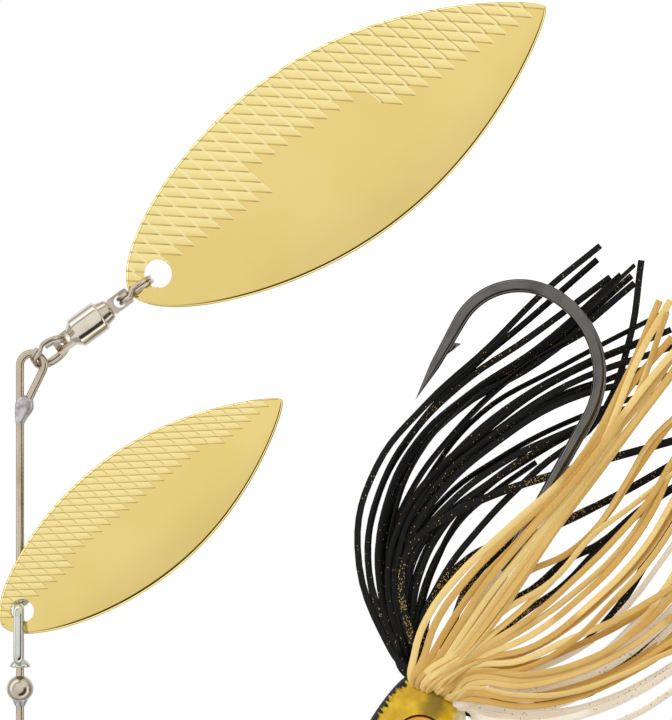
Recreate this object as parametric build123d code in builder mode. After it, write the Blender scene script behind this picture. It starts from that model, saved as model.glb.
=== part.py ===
from build123d import *
import os
from math import asin, cos, degrees, pi, radians, sin, sqrt

os.makedirs("parts", exist_ok=True)

# Spinnerbait hanging from its line tie, in millimetres. The origin is the centre of the line tie's bend.
# The lure is nearly flat, so most sizes lie in one drawing plane: its x axis runs from the upper arm
# towards the head, its y axis runs along the upper arm, and depth is measured towards the front face.

# ---- Hanging pose ----
plumb_angle = 37.0              # direction of the plumb line in the drawing plane

# ---- Wire frame ----
wire_d = 1.10
tie_bend_radius = 2.4
tie_bend_turn = 148.0
shoulder_radius = 7.0
lower_arm_angle = 25.6
lower_arm_length = 41.4
nose_bend_radius = 4.0
cast_in_length = 5.0            # wire held inside the head
arm_length = 78.2               # from the line tie to the centre of the end loop
loop_radius = 1.57
return_leg_angle = 64.0
leg_bend_radius = 1.2           # where the leg turns to lie along the arm
leg_end_length = 1.2
leg_gap = 0.06

# ---- Solder on the end loop ----
solder_width = 2.5
solder_depth = 1.6
solder_band = 1.9               # length round both wires
solder_taper = 1.2              # length running out down the arm
solder_toe_d = 1.35
solder_edge = 0.3               # solder past the end of the leg

# ---- Bead stop and clevis ----
bead_station = 35.7
bead_d = 3.55
bead_solder_d = 2.1
bead_solder_length = 0.85
bead_solder_toe_d = 1.3
clevis_station = 39.3
clevis_height = 7.4
clevis_width = 1.3
clevis_strip = 0.4
clevis_reach = 3.4              # from the wire's axis to the strip's front face
clevis_disc_d = 2.7
clevis_disc_dish = 0.6
clevis_corner = 1.1
clevis_clearance = 0.08

# ---- Split rings and ball-bearing swivel ----
chain_angle = 36.0
ring_outer_d = 5.6
ring_wire_d = 0.60
ring_wire_sides = 10            # the rings' round wire, as a polygon
ring_jog = 24.0                 # angle in which a ring's wire steps from one turn to the other
ring_coil_gap = 0.02
inner_ring_tilt = 25.0
inner_ring_seat = 0.28          # gap between the inner ring and the end loop's wire
blade_seat = 0.35               # gap between the outer ring and the big blade
post_width = 2.2
post_thickness = 1.1
post_hole_d = 1.6
post_end = 1.6                  # from a post's hole to its free end
post_sink = 0.44                # fixed post's root inside the cone
post_corner = 0.3
housing_offset = 0.9            # from the fixed post's hole to the cone
housing_cone_d = 2.5
housing_cone_length = 0.88
housing_d = 4.2
housing_length = 4.1
housing_wall = 0.4
housing_floor = 0.7
housing_edge = 0.25             # bevel of the barrel's mouth and the cap's end
cap_base_d = 3.4
cap_tip_d = 2.8
cap_length = 1.45
cap_spigot = 0.75
stem_shaft_d = 1.2
stem_flange_d = 3.1
stem_flange_thickness = 0.7
stem_reach = 1.5                # from the cap to the stem post's hole
running_gap = 0.05
ball_d = 0.8
ball_count = 6

# ---- Blades ----
big_blade_length = 66.4
big_blade_width = 25.5
big_blade_angle = 34.6
big_blade_hole_d = 3.75
big_blade_setback = 4.3         # from the hole to the blade's near end
big_blade_rise = 4.0            # cupping along the blade
big_blade_bow = 1.7             # cupping across the blade
big_blade_thickness = 0.6
small_blade_length = 47.1
small_blade_width = 17.0
small_blade_angle = 39.0
small_blade_hole_d = 3.1
small_blade_setback = 3.25
small_blade_rise = 2.8
small_blade_bow = 1.2
small_blade_thickness = 0.5
small_blade_depth = 1.9         # in front of the wire's axis, at the hole
small_blade_offset = (0.47, -0.6)   # hole centre from the clevis's upper leg
blade_edge_skew = 0.925         # under 1 moves the widest place towards the hole
blade_near_fullness = 0.62      # under 1 makes an end rounder
blade_tip_fullness = 0.79
blade_edge_steps = 14
blade_sheet_half = 0.6          # half of the cupped sheet, as a share of the blade cut from it

# ---- Head, keel, eyes and hook ----
shank_angle = 60.7              # hook shank, in the drawing plane
head_length = 19.0
nose_flat = 0.8
head_thickness = 8.4
head_sections = (               # share of length, back, belly, share of thickness
    (0.0, 1.8, -1.2, 0.32),
    (0.18, 3.9, -3.6, 0.64),
    (0.42, 5.4, -5.8, 0.93),
    (0.67, 5.5, -6.4, 1.0),
    (0.89, 4.9, -5.7, 0.90),
    (1.0, 4.2, -4.2, 0.76),
)
eye_d = 6.8
eye_from_rear = 6.5
eye_drop = 1.2
eye_seat = 3.2                  # from the middle plane to the flat of the eye socket
eye_edge = 0.35
eye_dome = 1.15
eye_clearance = 0.05
neck_bury = 1.0                 # neck inside the head
neck_d = 4.0
neck_length = 3.6
barb_d = 4.4
barb_length = 1.2
keel_length = 18.0
keel_height = 3.5
keel_thickness = 3.0
keel_end_d = 2.0
keel_groove_stations = (7.2, 8.5, 11.6, 12.9)
keel_groove_width = 0.5
keel_groove_depth = 0.25
hook_wire_d = 1.7
hook_shank_length = 41.0        # behind the head
hook_bend_radius = 12.0         # first quarter, next to the shank
hook_spear_radius = 9.0         # second quarter, next to the spear
hook_point_length = 11.85
hook_taper_break = 4.6          # from the tip to where the spear's taper steepens
hook_taper_d = 1.1
hook_tip_d = 0.1
hook_bury = 10.0                # shank inside the head
hook_forging = 1.36             # thickness left between the bend's two flats
hook_flat_start = 30.0
barb_station = 5.85             # from the hook's tip to where its barb leaves the spear
barb_cut_length = 3.46
barb_height = 0.82
barb_root = 0.32                # barb's root, from the spear's axis
barb_undercut = 0.96            # how far the barb's rear edge leans forwards
barb_thickness = 0.64

# ---- Skirt ----
collar_d = 6.2
collar_length = 2.9
collar_gap = 0.2
strand_width = 1.0
strand_thickness = 0.4
strand_root_radius = 2.8
strand_root_gap = 0.5
strand_bend_radius = 10.0
# Each strand: direction of its root round the shank, then its bend and its tip
# as (behind the head, towards the back, towards the front face).
black_strands = (
    (-20, (9, 18, -3.0), (60, 13, -4.5)),
    (-38, (10, 13, -4.0), (62, 8, -6.0)),
    (-56, (11, 8.5, -5.0), (60, 2, -7.0)),
    (-75, (12, 4, -5.5), (58, -4, -7.5)),
)
tan_strands = (
    (55, (10, 5, 4.5), (60, 1, 4.0)),
    (82, (11, -1, 5.0), (62, -5, 5.0)),
    (108, (11, -7, 5.0), (60, -13, 5.5)),
    (134, (9, -13, 4.0), (56, -24, 5.0)),
    (160, (7, -17, 2.0), (50, -34, 3.0)),
)
clear_strands = (
    (186, (6, -20, -0.5), (44, -40, -0.5)),
    (212, (8, -15, -3.0), (52, -29, -4.0)),
    (240, (10, -9, -5.0), (58, -18, -6.0)),
)

# ---- Places worked out from the sizes ----
plumb = radians(plumb_angle)
lure_plane = Plane(origin=(0, 0, 0), x_dir=(-sin(plumb), 0, -cos(plumb)), z_dir=(0, -1, 0))
front = lure_plane.z_dir
arm_x = -tie_bend_radius


def in_lure(x, y, depth=0.0):
    """World point of a place in the drawing plane."""
    return lure_plane.from_local_coords(Vector(x, y, depth))


def heading(angle):
    """World direction at an angle from the drawing plane's x axis."""
    return lure_plane.x_dir * cos(radians(angle)) + lure_plane.y_dir * sin(radians(angle))


def across_arm(x, y):
    """Plane across the upper arm, its x axis in the drawing plane and its y axis in depth."""
    return Plane(origin=in_lure(x, y), x_dir=heading(0), z_dir=heading(-90))


def save(builder, name):
    """Label a finished sub-part and write it."""
    builder.part.label = name
    export_step(builder.part, f"parts/{name}.step")


# ---- Wire frame: end loop, upper arm, line tie, lower arm and cast-in tail, bent from one wire ----
loop_turn = 270 - return_leg_angle
leg_turn = 90 - return_leg_angle
leg_bend_run = leg_bend_radius * (1 - cos(radians(leg_turn)))
leg_run = loop_radius * (1 + sin(radians(return_leg_angle))) - wire_d - leg_gap - leg_bend_run
leg_length = leg_run / cos(radians(return_leg_angle))
shoulder_turn = tie_bend_turn - 90 - lower_arm_angle

with BuildPart() as wire_frame:
    with BuildLine(lure_plane) as wire_path:
        upper_arm = Line((arm_x, 0), (arm_x, arm_length))
        loop_arc = JernArc(upper_arm @ 1, upper_arm % 1, loop_radius, -loop_turn)
        return_leg = Line(loop_arc @ 1, loop_arc @ 1 + (loop_arc % 1) * leg_length)
        leg_bend = JernArc(return_leg @ 1, return_leg % 1, leg_bend_radius, leg_turn)
        leg_end = leg_bend @ 1 + (leg_bend % 1) * leg_end_length
        Line(leg_bend @ 1, leg_end)
        tie_bend = JernArc((arm_x, 0), (0, -1), tie_bend_radius, tie_bend_turn)
        shoulder = JernArc(tie_bend @ 1, tie_bend % 1, shoulder_radius, -shoulder_turn)
        nose_start = shoulder @ 1 + (shoulder % 1) * lower_arm_length
        Line(shoulder @ 1, nose_start)
        nose_bend = JernArc(nose_start, shoulder % 1, nose_bend_radius, shank_angle - lower_arm_angle)
        Line(nose_bend @ 1, nose_bend @ 1 + (nose_bend % 1) * cast_in_length)
    with BuildSketch(Plane(origin=leg_end, z_dir=leg_bend % 1)):
        Circle(wire_d / 2)
    sweep(path=wire_path.wire())
save(wire_frame, "wire_frame")

# ---- Solder that closes the end loop: a band round both wires, then running out down the arm ----
solder_bottom = lure_plane.to_local_coords(leg_end).Y - solder_edge
with BuildPart() as loop_solder:
    with BuildSketch(across_arm(arm_x + (wire_d + leg_gap) / 2, solder_bottom + solder_band)):
        Ellipse(solder_width / 2, solder_depth / 2)
    extrude(amount=solder_band)
    with BuildSketch(across_arm(arm_x + (wire_d + leg_gap) / 2, solder_bottom)):
        Ellipse(solder_width / 2, solder_depth / 2)
    with BuildSketch(across_arm(arm_x, solder_bottom - solder_taper)):
        Circle(solder_toe_d / 2)
    loft()
    add(wire_frame.part, mode=Mode.SUBTRACT)
save(loop_solder, "loop_solder")

# ---- Bead stop, and the cone of solder that fixes it ----
bead_centre = in_lure(arm_x, bead_station)
arm_axis = Axis(in_lure(arm_x, 0), heading(90))
with BuildPart() as bead:
    with Locations(bead_centre):
        Sphere(bead_d / 2)
    add(wire_frame.part, mode=Mode.SUBTRACT)
save(bead, "bead")

solder_touch = sqrt((bead_d / 2) ** 2 - (bead_solder_d / 2) ** 2)
with BuildPart() as bead_solder:
    with BuildSketch(Plane(origin=bead_centre, x_dir=heading(90), z_dir=front)):
        with BuildLine():
            Polyline(
                (-solder_touch, 0),
                (-solder_touch, bead_solder_d / 2),
                (-solder_touch - bead_solder_length, bead_solder_toe_d / 2),
                (-solder_touch - bead_solder_length, 0),
                close=True,
            )
        make_face()
    revolve(axis=arm_axis)
    add(wire_frame.part, mode=Mode.SUBTRACT)
    add(bead.part, mode=Mode.SUBTRACT)
save(bead_solder, "bead_solder")

# ---- Clevis: a strip folded into a bow, with a dished disc at each end riding on the arm ----
clevis_bore = wire_d / 2 + clevis_clearance
clevis_top = clevis_station + clevis_height
bow_depth = clevis_reach - clevis_strip / 2
with BuildPart() as clevis:
    for station, dish in ((clevis_station, -clevis_disc_dish), (clevis_top, clevis_disc_dish)):
        with BuildSketch(Plane(origin=in_lure(arm_x, station), x_dir=heading(90), z_dir=front)):
            with BuildLine():
                Polyline(
                    (-clevis_strip / 2, clevis_bore),
                    (dish - clevis_strip / 2, clevis_disc_d / 2),
                    (dish + clevis_strip / 2, clevis_disc_d / 2),
                    (clevis_strip / 2, clevis_bore),
                    close=True,
                )
            make_face()
        revolve(axis=arm_axis)
    with BuildLine() as bow:
        FilletPolyline(
            in_lure(arm_x, clevis_station, clevis_bore + clevis_strip / 2),
            in_lure(arm_x, clevis_station, bow_depth),
            in_lure(arm_x, clevis_top, bow_depth),
            in_lure(arm_x, clevis_top, clevis_bore + clevis_strip / 2),
            radius=clevis_corner,
        )
    with BuildSketch(Plane(origin=bow.line @ 0, x_dir=heading(0), z_dir=front)):
        Rectangle(clevis_width, clevis_strip)
    sweep(path=bow.wire())
save(clevis, "clevis")

# ---- Swivel chain: stations along the chain, from the centre of the end loop ----
loop_centre = in_lure(arm_x + loop_radius, arm_length)
chain = heading(chain_angle)
chain_side = heading(chain_angle + 90)
chain_axis = Axis(loop_centre, chain)
ring_radius = (ring_outer_d - ring_wire_d) / 2
coil_pitch = ring_wire_d + ring_coil_gap
loop_inside = loop_radius - wire_d / 2
inner_ring_at = loop_inside - ring_wire_d / 2 - inner_ring_seat + ring_radius
fixed_hole_at = inner_ring_at + ring_radius
cone_at = fixed_hole_at + housing_offset
body_at = cone_at + housing_cone_length
body_end = body_at + housing_length
cap_end = body_end + cap_length
stem_hole_at = cap_end + stem_reach
outer_ring_at = stem_hole_at + ring_radius
big_hole_at = outer_ring_at + ring_radius - ring_wire_d / 2 - blade_seat + big_blade_hole_d / 2


def on_chain(station):
    """World point on the swivel chain."""
    return loop_centre + chain * station


def split_ring(station, tilt, name):
    """Two flat turns joined by a short jog, tilted about the chain from edge-on."""
    normal = chain_side * cos(radians(tilt)) - front * sin(radians(tilt))
    with BuildPart() as ring:
        with BuildLine(Plane(origin=on_chain(station), x_dir=normal.cross(chain), z_dir=normal)) as coil:
            turn = CenterArc((0, 0, -coil_pitch / 2), ring_radius, 0, 360 - ring_jog)
            next_turn = CenterArc((0, 0, coil_pitch / 2), ring_radius, 0, 360 - ring_jog)
            Spline(turn @ 1, next_turn @ 0, tangents=[turn % 1, next_turn % 0])
        with BuildSketch(Plane(origin=turn @ 0, x_dir=normal, z_dir=turn % 0)):
            RegularPolygon(ring_wire_d / 2, ring_wire_sides)
        sweep(path=coil.wire())
    save(ring, name)


def post_plane(station, tilt):
    """Plane of an eye post's hole, with its x axis along the chain."""
    hole_axis = front * cos(radians(tilt)) + chain_side * sin(radians(tilt))
    return Plane(origin=on_chain(station), x_dir=chain, z_dir=hole_axis)


def post_face(root):
    """Outline of an eye post from its free end, past its hole, to its root."""
    with Locations(((root - post_end) / 2, 0)):
        RectangleRounded(root + post_end, post_width, post_corner)
    Circle(post_hole_d / 2, mode=Mode.SUBTRACT)


split_ring(inner_ring_at, inner_ring_tilt, "inner_split_ring")
split_ring(outer_ring_at, 0, "outer_split_ring")

# Housing with the fixed eye post: a cone and a barrel, hollow for the bearing
cavity_radius = housing_d / 2 - housing_wall
cavity_at = body_at + housing_floor
flange_at = cavity_at + running_gap
ball_at = flange_at + stem_flange_thickness + running_gap + ball_d / 2
cap_inner_face = ball_at + ball_d / 2 + running_gap
profile_plane = Plane(origin=loop_centre, x_dir=chain, z_dir=front)

with BuildPart() as swivel_housing:
    with BuildSketch(profile_plane):
        with BuildLine():
            Polyline(
                (cone_at, 0),
                (cone_at, housing_cone_d / 2),
                (body_at, housing_d / 2),
                (body_end - housing_edge, housing_d / 2),
                (body_end, housing_d / 2 - housing_edge),
                (body_end, cavity_radius),
                (cavity_at, cavity_radius),
                (cavity_at, 0),
                close=True,
            )
        make_face()
    revolve(axis=chain_axis)
    with BuildSketch(post_plane(fixed_hole_at, inner_ring_tilt)):
        post_face(housing_offset + post_sink)
    extrude(amount=post_thickness / 2, both=True)
save(swivel_housing, "swivel_housing")

# Cap pressed into the barrel's mouth; the stem runs through it
cap_bore = stem_shaft_d / 2 + running_gap
with BuildPart() as swivel_cap:
    with BuildSketch(profile_plane):
        with BuildLine():
            Polyline(
                (cap_inner_face, cap_bore),
                (cap_inner_face, cavity_radius),
                (body_end, cavity_radius),
                (body_end, cap_base_d / 2),
                (cap_end - housing_edge, cap_tip_d / 2),
                (cap_end, cap_tip_d / 2 - housing_edge),
                (cap_end, cap_bore),
                close=True,
            )
        make_face()
    revolve(axis=chain_axis)
save(swivel_cap, "swivel_cap")

# Stem: a flange behind the balls, a shaft through the cap and the turning eye post
post_root_at = cap_end + running_gap
with BuildPart() as swivel_stem:
    with BuildSketch(profile_plane):
        with BuildLine():
            Polyline(
                (flange_at, 0),
                (flange_at, stem_flange_d / 2),
                (flange_at + stem_flange_thickness, stem_flange_d / 2),
                (flange_at + stem_flange_thickness, stem_shaft_d / 2),
                (post_root_at, stem_shaft_d / 2),
                (post_root_at, 0),
                close=True,
            )
        make_face()
    revolve(axis=chain_axis)
    with BuildSketch(Plane(origin=on_chain(stem_hole_at), x_dir=-chain, z_dir=front)):
        post_face(stem_hole_at - post_root_at)
    extrude(amount=post_thickness / 2, both=True)
save(swivel_stem, "swivel_stem")

ball_ring_radius = (stem_shaft_d / 2 + cavity_radius) / 2
with BuildPart(Plane(origin=on_chain(ball_at), x_dir=front, z_dir=chain)) as swivel_balls:
    with PolarLocations(ball_ring_radius, ball_count):
        Sphere(ball_d / 2)
save(swivel_balls, "swivel_balls")

# ---- Willow-leaf blades: an outline cut from a sheet cupped along and across ----


def blade_edge(turn, length, width):
    """Place on the blade's edge: near end at turn 0, tip at 1 and back along the other side to 2."""
    share = (1 - cos(pi * turn)) / 2
    fullness = blade_near_fullness + (blade_tip_fullness - blade_near_fullness) * share
    half_width = max(sin(pi * share**blade_edge_skew), 0) ** fullness * width / 2
    return share * length, half_width if turn < 1 else -half_width


def willow_blade(hole_plane, length, width, hole_d, setback, rise, bow, thickness, name):
    """Cupped willow-leaf blade; the plane's origin is its hole, its x axis runs to the tip."""
    middle = length / 2 - setback
    long_radius = ((length / 2) ** 2 + rise**2) / (2 * rise)
    cross_radius = ((width / 2) ** 2 + bow**2) / (2 * bow)
    crown = long_radius - sqrt(long_radius**2 - middle**2)
    sheet_plane = Plane(
        origin=hole_plane.from_local_coords(Vector(middle, 0, crown)),
        x_dir=hole_plane.y_dir,
        z_dir=hole_plane.x_dir,
    )
    half = width * blade_sheet_half
    edge_drop = cross_radius - sqrt(cross_radius**2 - half**2)
    cup_centre = hole_plane.from_local_coords(Vector(middle, 0, crown - long_radius))
    cup_axis = Axis(cup_centre, hole_plane.y_dir)
    sheet_turn = degrees(asin(blade_sheet_half * length / long_radius))
    with BuildPart() as blade:
        with BuildSketch(sheet_plane) as sheet:
            with BuildLine():
                for face in (thickness / 2, -thickness / 2):
                    ThreePointArc((-half, face - edge_drop), (0, face), (half, face - edge_drop))
                for side in (-half, half):
                    Line((side, thickness / 2 - edge_drop), (side, -thickness / 2 - edge_drop))
            make_face()
        revolve(axis=cup_axis, revolution_arc=sheet_turn)
        revolve(sheet.sketch, axis=cup_axis, revolution_arc=-sheet_turn)
        with BuildSketch(hole_plane):
            with BuildLine():
                steps = range(2 * blade_edge_steps)
                edge = [blade_edge(step / blade_edge_steps, length, width) for step in steps]
                Spline(*[(x - setback, y) for x, y in edge], periodic=True)
            make_face()
            Circle(hole_d / 2, mode=Mode.SUBTRACT)
        extrude(amount=length, both=True, mode=Mode.INTERSECT)
    save(blade, name)


willow_blade(
    Plane(origin=on_chain(big_hole_at), x_dir=heading(big_blade_angle), z_dir=front),
    big_blade_length,
    big_blade_width,
    big_blade_hole_d,
    big_blade_setback,
    big_blade_rise,
    big_blade_bow,
    big_blade_thickness,
    "big_blade",
)
small_hole = in_lure(arm_x + small_blade_offset[0], clevis_top + small_blade_offset[1], small_blade_depth)
willow_blade(
    Plane(origin=small_hole, x_dir=heading(small_blade_angle), z_dir=front),
    small_blade_length,
    small_blade_width,
    small_blade_hole_d,
    small_blade_setback,
    small_blade_rise,
    small_blade_bow,
    small_blade_thickness,
    "small_blade",
)

# ---- Head frame: x along the hook shank, y towards the back, z towards the front face ----
shank = heading(shank_angle)
towards_back = heading(shank_angle + 90)
nose_side = nose_bend_radius * (1 - cos(radians(shank_angle - lower_arm_angle)))
nose = nose_start - towards_back * nose_side
rear = nose + shank * head_length
rear_plane = Plane(origin=rear, x_dir=shank, z_dir=front)
shank_axis = Axis(rear, shank)


def behind_head(distance, height=0.0, depth=0.0):
    """World point measured from the middle of the head's rear face."""
    return rear_plane.from_local_coords(Vector(distance, height, depth))


def section_plane(distance, height=0.0):
    """Plane across the shank, x towards the back and y towards the front face."""
    return Plane(origin=behind_head(distance, height), x_dir=towards_back, z_dir=shank)


# ---- Hook: round shank, forged bend, tapered spear and barb ----
spear_y = hook_bend_radius + hook_spear_radius
spear_x = hook_shank_length + hook_bend_radius - hook_spear_radius
tip_x = spear_x - hook_point_length
barb_x = tip_x + barb_station
flat_length = hook_shank_length + hook_bend_radius + hook_wire_d - hook_flat_start
with BuildPart() as hook:
    with BuildLine(rear_plane) as hook_path:
        shank_line = Line((-hook_bury, 0), (hook_shank_length, 0))
        bend = JernArc(shank_line @ 1, shank_line % 1, hook_bend_radius, 90)
        JernArc(bend @ 1, bend % 1, hook_spear_radius, 90)
    with BuildSketch(section_plane(-hook_bury)):
        Circle(hook_wire_d / 2)
    sweep(path=hook_path.wire())
    with BuildSketch(rear_plane):
        with BuildLine():
            Polyline(
                (spear_x, spear_y),
                (spear_x, spear_y + hook_wire_d / 2),
                (tip_x + hook_taper_break, spear_y + hook_taper_d / 2),
                (tip_x, spear_y + hook_tip_d / 2),
                (tip_x, spear_y),
                close=True,
            )
        make_face()
    revolve(axis=Axis(behind_head(0, spear_y), shank))
    with BuildSketch(rear_plane):
        with BuildLine():
            Polyline(
                (barb_x, spear_y - barb_root),
                (barb_x + barb_cut_length, spear_y - hook_wire_d / 2 - barb_height),
                (barb_x + barb_cut_length - barb_undercut, spear_y - barb_root),
                close=True,
            )
        make_face()
    extrude(amount=barb_thickness / 2, both=True)
    for side in (1, -1):
        with BuildSketch(rear_plane.offset(side * hook_forging / 2)):
            with Locations((hook_flat_start + flat_length / 2, spear_y / 2)):
                Rectangle(flat_length, spear_y + 2 * hook_wire_d)
        extrude(amount=side * hook_wire_d, mode=Mode.SUBTRACT)
save(hook, "hook")

# ---- Head: lofted fish head, neck with a barb for the skirt, and grooved keel on the shank ----


def keel_size(distance):
    """Height and thickness of the tapered keel."""
    share = (distance - neck_length) / (keel_length - neck_length)
    height = keel_height + (keel_end_d - keel_height) * share
    thickness = keel_thickness + (keel_end_d - keel_thickness) * share
    return height, thickness


with BuildPart() as head:
    for share, back, belly, thickness in head_sections:
        distance = -(head_length - nose_flat) * (1 - share)
        with BuildSketch(section_plane(distance, (back + belly) / 2)):
            Ellipse((back - belly) / 2, thickness * head_thickness / 2)
    loft()
    for side in (1, -1):
        eye_plane = Plane(
            origin=behind_head(-eye_from_rear, -eye_drop, side * eye_seat), x_dir=shank, z_dir=front * side
        )
        with BuildSketch(eye_plane):
            Circle(eye_d / 2 + eye_clearance)
        extrude(amount=head_thickness, mode=Mode.SUBTRACT)
    with BuildSketch(rear_plane):
        with BuildLine():
            Polyline(
                (-neck_bury, 0),
                (-neck_bury, neck_d / 2),
                (neck_length, neck_d / 2),
                (neck_length, barb_d / 2),
                (neck_length + barb_length, neck_d / 2),
                (neck_length + barb_length, 0),
                close=True,
            )
        make_face()
    revolve(axis=shank_axis)
    for distance in (neck_length, keel_length):
        with BuildSketch(section_plane(distance)):
            Ellipse(keel_size(distance)[0] / 2, keel_size(distance)[1] / 2)
    loft()
    for distance in keel_groove_stations:
        height, thickness = keel_size(distance)
        with BuildSketch(section_plane(distance)):
            Ellipse(height, thickness)
            Ellipse(height / 2 - keel_groove_depth, thickness / 2 - keel_groove_depth, mode=Mode.SUBTRACT)
        extrude(amount=keel_groove_width, mode=Mode.SUBTRACT)
    add(hook.part, mode=Mode.SUBTRACT)
    add(wire_frame.part, mode=Mode.SUBTRACT)
save(head, "head")

# ---- Eyes: domed discs in the sockets on both cheeks ----
for side, name in ((1, "left_eye"), (-1, "right_eye")):
    with BuildPart() as eye:
        eye_centre = behind_head(-eye_from_rear, -eye_drop, side * eye_seat)
        with BuildSketch(Plane(origin=eye_centre, x_dir=shank, z_dir=towards_back * side)):
            with BuildLine():
                eye_rim = (eye_d / 2, -eye_edge)
                eye_crown = (0, -eye_edge - eye_dome)
                Polyline(eye_crown, (0, 0), (eye_d / 2, 0), eye_rim)
                RadiusArc(eye_rim, eye_crown, ((eye_d / 2) ** 2 + eye_dome**2) / (2 * eye_dome))
            make_face()
        revolve(axis=Axis(eye_centre, front))
    save(eye, name)

# ---- Skirt: a collar on the neck and the strands that it holds ----
with BuildPart() as skirt_collar:
    with BuildSketch(section_plane(collar_gap)):
        Circle(collar_d / 2)
        Circle(neck_d / 2, mode=Mode.SUBTRACT)
    extrude(amount=collar_length)
save(skirt_collar, "skirt_collar")

strand_root = collar_gap + collar_length + strand_root_gap


def skirt(strands, name):
    """Group of flat strands, each bent once between the collar and its tip."""
    with BuildPart() as group:
        for direction, bend, tip in strands:
            root = behind_head(
                strand_root,
                strand_root_radius * cos(radians(direction)),
                strand_root_radius * sin(radians(direction)),
            )
            corner = behind_head(*bend)
            end = behind_head(*tip)
            with BuildLine() as strand:
                FilletPolyline(root, corner, end, radius=strand_bend_radius)
            across = (corner - root).cross(end - corner).normalized()
            with BuildSketch(Plane(origin=root, x_dir=across, z_dir=corner - root)):
                Rectangle(strand_thickness, strand_width)
            sweep(path=strand.wire())
    save(group, name)


skirt(black_strands, "skirt_black")
skirt(tan_strands, "skirt_tan")
skirt(clear_strands, "skirt_clear")
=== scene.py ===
import bpy
import bmesh
import math
import random
from mathutils import Matrix, Vector


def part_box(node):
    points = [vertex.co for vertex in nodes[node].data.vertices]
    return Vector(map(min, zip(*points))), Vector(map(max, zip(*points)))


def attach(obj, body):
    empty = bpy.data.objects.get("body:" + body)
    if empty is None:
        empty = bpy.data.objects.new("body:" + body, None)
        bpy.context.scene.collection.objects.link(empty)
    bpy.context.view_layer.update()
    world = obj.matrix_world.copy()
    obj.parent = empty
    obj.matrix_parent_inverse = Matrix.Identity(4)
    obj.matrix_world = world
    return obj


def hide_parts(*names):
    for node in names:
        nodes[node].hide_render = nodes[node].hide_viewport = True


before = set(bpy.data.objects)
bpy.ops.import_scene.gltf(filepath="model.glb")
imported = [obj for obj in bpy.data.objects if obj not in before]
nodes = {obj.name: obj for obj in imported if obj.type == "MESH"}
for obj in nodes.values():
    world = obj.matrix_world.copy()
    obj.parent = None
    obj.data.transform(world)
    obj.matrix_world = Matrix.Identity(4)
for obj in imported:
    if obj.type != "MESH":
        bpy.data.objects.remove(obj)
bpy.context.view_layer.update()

# ---- Camera ----
# The lure is nearly flat, so its sizes are read in one drawing plane, in millimetres: x runs from the
# upper arm towards the head, y runs along the upper arm, and depth is measured towards the front face.
# The camera looks straight at the front face, turned so that the upper arm stands upright.
PLUMB = math.radians(37)
RIGHT = Vector((-math.sin(PLUMB), 0, -math.cos(PLUMB)))
UP = Vector((math.cos(PLUMB), 0, -math.sin(PLUMB)))
FRONT = Vector((0, -1, 0))
MM = 0.001
DRAWING = Matrix((RIGHT, UP, FRONT)).transposed().to_4x4()
CAMERA_PLACE = (39.15, 78.9, 526)


def in_lure(x, y, depth=0.0):
    """World point, in metres, of a place in the drawing plane, in millimetres."""
    return (RIGHT * x + UP * y + FRONT * depth) * MM


camera_data = bpy.data.cameras.new("camera")
camera_data.lens = 200
camera_data.sensor_width = 36
camera = bpy.data.objects.new("camera", camera_data)
camera.matrix_world = Matrix.Translation(in_lure(*CAMERA_PLACE)) @ DRAWING
bpy.context.scene.collection.objects.link(camera)
bpy.context.scene.camera = camera
bpy.context.scene.view_settings.view_transform = "Standard"

# ---- Studio: white tent, two soft lamps and a pale floor ----
# Plated metal shows what stands round it, so the tent is white with a darker strip low on the right
# side and a faint one on the left. The lamps light paint and rubber only; the floor keeps the shadow.
WHITE = (1, 1, 1, 1)
LURE_MIDDLE = in_lure(39, 79)
FLOOR_HEIGHT = -0.175
FLOOR_HALF = 3.0


class Amount:
    """A socket that takes part in arithmetic."""

    def __init__(self, finish, socket):
        self.finish = finish
        self.socket = socket

    def math(self, operation, *others):
        inputs = dict(enumerate((self, *others)))
        return self.finish.node("ShaderNodeMath", {"operation": operation}, inputs)

    def __add__(self, other):
        return self.math("ADD", other)

    def __sub__(self, other):
        return self.math("SUBTRACT", other)

    def __rsub__(self, other):
        return self.finish.node("ShaderNodeMath", {"operation": "SUBTRACT"}, {0: other, 1: self})

    def __mul__(self, other):
        return self.math("MULTIPLY", other)

    def __truediv__(self, other):
        return self.math("DIVIDE", other)

    __radd__ = __add__
    __rmul__ = __mul__

    def ramp(self, low, high):
        """0 at low and 1 at high, smooth between them; low may be the greater."""
        ends = (low, high, 0.0, 1.0) if low < high else (high, low, 1.0, 0.0)
        settings = {"interpolation_type": "SMOOTHSTEP"}
        return self.finish.node("ShaderNodeMapRange", settings, dict(enumerate((self, *ends))))

    def band(self, start, full, fading, end):
        """1 from full to fading, and 0 before start and past end."""
        return self.ramp(start, full) * self.ramp(end, fading)


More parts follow.
